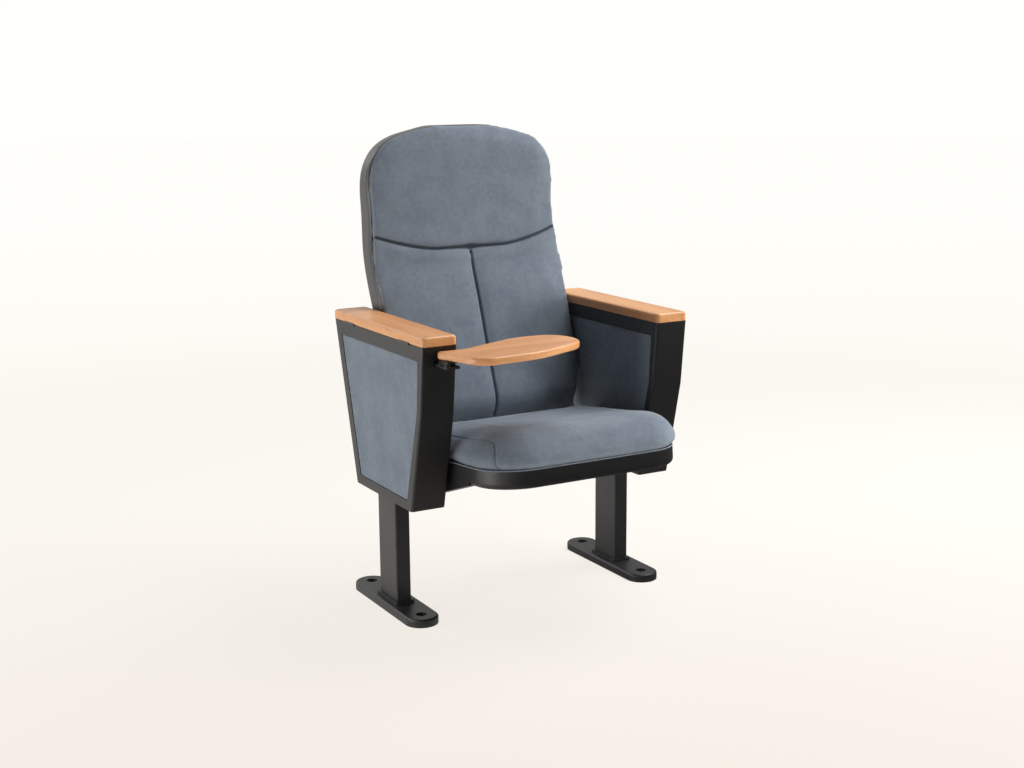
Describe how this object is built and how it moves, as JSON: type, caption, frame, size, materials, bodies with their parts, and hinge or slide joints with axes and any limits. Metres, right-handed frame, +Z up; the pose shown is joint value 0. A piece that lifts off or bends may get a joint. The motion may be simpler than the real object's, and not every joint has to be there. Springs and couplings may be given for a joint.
{
  "type": "tip up auditorium seat",
  "caption": "Upholstered tip-up auditorium seat between two floor-fixed arm boxes, with a wooden writing tablet that folds out of one arm.",
  "frame": {"origin": "on the floor, at the centre of the four floor bolt holes, in the middle plane of the seat", "axes": "+Z up; the seat faces -Y; +X is to the left of a person who sits in it. The writing tablet is in the arm on the -X side."},
  "size_m": [0.6525, 0.6468, 1.0401],
  "materials": {
    "black_paint": "satin black powder coat",
    "black_plastic": "moulded, fine satin grain",
    "fabric": "plain close-woven upholstery cloth, slate blue-grey",
    "plywood": "raw plywood, hidden under the cloth",
    "beech": "clear satin lacquer, grain along the length",
    "steel": "zinc plated",
    "buffer_rubber": "plain"
  },
  "bodies": {
    "stand": {"arm_housing_left": "black_plastic", "arm_housing_right": "black_plastic", "armrest_left": "beech", "back_board": "plywood", "back_bolts_left": "steel", "back_bolts_right": "steel", "back_bracket_left": "black_paint", "back_bracket_right": "black_paint", "back_cushion": "fabric", "back_shell": "black_plastic", "back_spacers_left": "steel", "back_spacers_right": "steel", "cap_screws": "steel", "foot_left": "black_paint", "foot_right": "black_paint", "inner_board_left": "plywood", "inner_board_right": "plywood", "inner_pad_left": "fabric", "inner_pad_right": "fabric", "leg_collar_left": "black_plastic", "leg_collar_right": "black_plastic", "leg_tube_left": "black_paint", "leg_tube_right": "black_paint", "lid_leaf_fixed": "steel", "lid_pins": "steel", "outer_board_left": "plywood", "outer_board_right": "plywood", "outer_pad_left": "fabric", "outer_pad_right": "fabric", "seat_pin_left": "steel", "seat_pin_right": "steel", "standard_left": "black_paint", "standard_right": "black_paint", "stop_peg_left": "steel", "stop_peg_right": "steel", "stop_sleeve_left": "buffer_rubber", "stop_sleeve_right": "buffer_rubber", "tablet_bracket": "black_paint", "tablet_pin": "steel"},
    "seat": {"arm_screws": "steel", "cross_tube": "steel", "pan_screws": "steel", "pivot_bush_left": "black_plastic", "pivot_bush_right": "black_plastic", "return_spring_left": "steel", "return_spring_right": "steel", "seat_arm_left": "black_paint", "seat_arm_right": "black_paint", "seat_board": "plywood", "seat_cushion": "fabric", "seat_pan": "black_plastic"},
    "tablet": {"tablet_board": "beech", "tablet_leaf": "steel", "tablet_screws": "steel"},
    "lid": {"armrest_right": "beech", "lid_leaf_moving": "steel"}
  },
  "joints": [
    {"name": "seat_tip", "type": "hinge", "parent": "stand", "child": "seat", "pos_m": [0, -0.045, 0.318], "axis": [-1, 0, 0], "range_deg": [0, 75]},
    {"name": "tablet_fold", "type": "hinge", "parent": "stand", "child": "tablet", "pos_m": [-0.29, -0.268, 0.5905], "axis": [0, -1, 0], "range_deg": [0, 95]},
    {"name": "lid_lift", "type": "hinge", "parent": "stand", "child": "lid", "pos_m": [-0.325, 0, 0.62], "axis": [0, -1, 0], "range_deg": [0, 95]}
  ],
  "couplings": [
    {"joint": "tablet_fold", "follows": "seat_tip", "ratio": 1.26}
  ]
}
